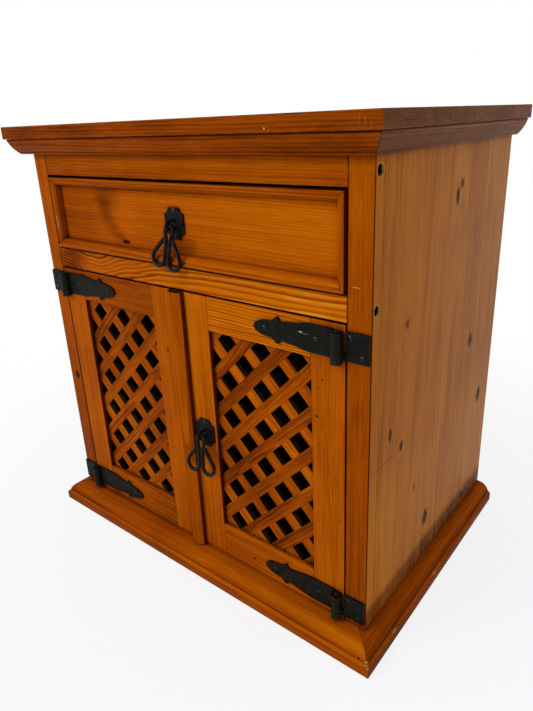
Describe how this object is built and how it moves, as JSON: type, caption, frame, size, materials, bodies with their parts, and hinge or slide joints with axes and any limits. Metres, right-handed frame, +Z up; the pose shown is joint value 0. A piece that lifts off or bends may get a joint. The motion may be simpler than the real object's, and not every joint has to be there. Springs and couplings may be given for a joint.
{
  "type": "sideboard",
  "caption": "Small rustic pine sideboard with a drawer above a pair of lattice doors, forged strap hinges, looped iron drop pulls and a stepped base and crown.",
  "frame": {"origin": "on the floor under the middle of the sideboard's overall footprint", "axes": "+Z up, the front faces -Y, +X to the right as seen from the front"},
  "size_m": [0.65, 0.448, 0.6715],
  "materials": {
    "pine": "honey stained pine, satin varnish",
    "raw_pine": "planed pine, no varnish",
    "plywood": "thin plywood, no varnish",
    "iron": "forged, waxed black",
    "screw_steel": "dark steel screw"
  },
  "bodies": {
    "carcass": {"top_board": "pine", "crown_front": "pine", "crown_left": "pine", "crown_right": "pine", "side_panel_left": "pine", "side_panel_right": "pine", "face_stile_left": "pine", "face_stile_right": "pine", "top_rail": "pine", "middle_rail": "pine", "base_front": "pine", "base_left": "pine", "base_right": "pine", "bottom_panel": "pine", "back_panel": "plywood", "drawer_runner_left": "raw_pine", "drawer_runner_right": "raw_pine", "door_stop": "raw_pine", "frame_screw_left_top": "screw_steel", "frame_screw_left_middle": "screw_steel", "frame_screw_right_top": "screw_steel", "frame_screw_right_middle": "screw_steel", "upper_left_hinge_leaf": "iron", "upper_right_hinge_leaf": "iron", "lower_left_hinge_leaf": "iron", "lower_right_hinge_leaf": "iron", "upper_left_hinge_pin": "iron", "upper_right_hinge_pin": "iron", "lower_left_hinge_pin": "iron", "lower_right_hinge_pin": "iron"},
    "drawer": {"drawer_front": "pine", "drawer_moulding_top": "pine", "drawer_moulding_bottom": "pine", "drawer_moulding_left": "pine", "drawer_moulding_right": "pine", "drawer_side_left": "raw_pine", "drawer_side_right": "raw_pine", "drawer_back": "raw_pine", "drawer_bottom": "plywood", "drawer_pull_plate": "iron", "drawer_pull_staple": "iron"},
    "drawer_pull": {"drawer_pull_loop": "iron"},
    "left_door": {"left_door_hinge_stile": "pine", "left_door_lock_stile": "pine", "left_door_top_rail": "pine", "left_door_bottom_rail": "pine", "left_door_lattice": "pine", "upper_left_hinge_strap": "iron", "lower_left_hinge_strap": "iron"},
    "right_door": {"right_door_hinge_stile": "pine", "right_door_lock_stile": "pine", "right_door_top_rail": "pine", "right_door_bottom_rail": "pine", "right_door_lattice": "pine", "astragal": "pine", "upper_right_hinge_strap": "iron", "lower_right_hinge_strap": "iron", "door_pull_plate": "iron", "door_pull_staple": "iron"},
    "door_pull": {"door_pull_loop": "iron"}
  },
  "joints": [
    {"name": "drawer_slide", "type": "slide", "parent": "carcass", "child": "drawer", "axis": [0, -1, 0], "range_m": [0, 0.26]},
    {"name": "drawer_pull_swing", "type": "hinge", "parent": "drawer", "child": "drawer_pull", "pos_m": [0, -0.1898, 0.5417], "axis": [-1, 0, 0], "range_deg": [0, 155]},
    {"name": "left_door_hinge", "type": "hinge", "parent": "carcass", "child": "left_door", "pos_m": [-0.2598, -0.1951, 0.0355], "axis": [0, 0, -1], "range_deg": [0, 175]},
    {"name": "right_door_hinge", "type": "hinge", "parent": "carcass", "child": "right_door", "pos_m": [0.2598, -0.1951, 0.0355], "axis": [0, 0, 1], "range_deg": [0, 175]},
    {"name": "door_pull_swing", "type": "hinge", "parent": "right_door", "child": "door_pull", "pos_m": [0.0337, -0.1998, 0.2435], "axis": [-1, 0, 0], "range_deg": [0, 155]}
  ]
}
